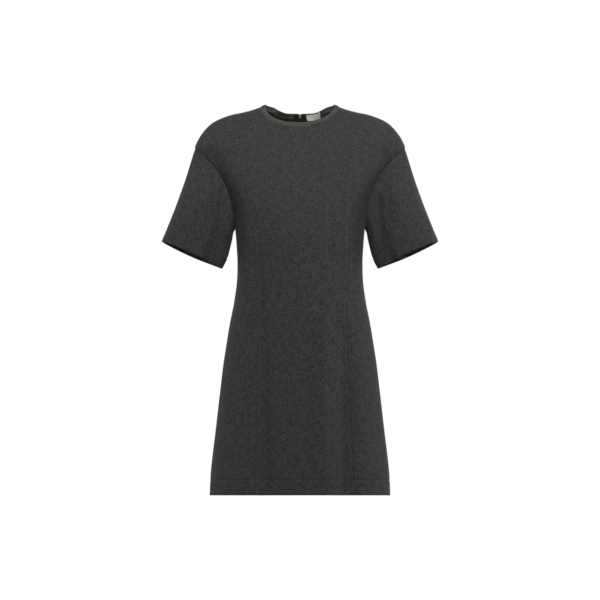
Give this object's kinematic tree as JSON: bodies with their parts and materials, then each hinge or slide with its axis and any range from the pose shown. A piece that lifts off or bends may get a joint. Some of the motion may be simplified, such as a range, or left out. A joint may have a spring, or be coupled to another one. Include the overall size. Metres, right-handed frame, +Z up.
{
  "type": "t-shirt dress",
  "caption": "Short-sleeved above-knee dress in dark grey heather knit with a round ribbed neck, long bust-to-hem darts and a zip at the centre back, hollow and filled out as worn.",
  "frame": {"origin": "midway between the two high shoulder points, at the height where the wearer's shoulders carry the dress, in the middle of the neck opening", "axes": "+Z up, front faces -Y, +X to the wearer's left"},
  "size_m": [0.636, 0.272, 0.9002],
  "materials": {
    "knit": "dark grey heather double knit, matt with a slight nap",
    "rib": "olive-grey fine rib knit, matt",
    "tape": "near-black woven zip tape and plastic teeth",
    "zip_metal": "satin silver zip hardware",
    "label": "blank white satin-woven label"
  },
  "bodies": {
    "dress": {"front": "knit", "back_left": "knit", "back_right": "knit", "sleeve_left": "knit", "sleeve_right": "knit", "neck_band": "rib", "zip_tape_left": "tape", "zip_tape_right": "tape", "zip_chain": "tape", "zip_slider": "zip_metal", "label": "label"},
    "pull": {"zip_pull": "zip_metal"}
  },
  "joints": [
    {"name": "zip_pull_hinge", "type": "hinge", "parent": "dress", "child": "pull", "pos_m": [0, 0.06703, -0.01486], "axis": [1, 0, 0], "range_deg": [0, 170]}
  ]
}
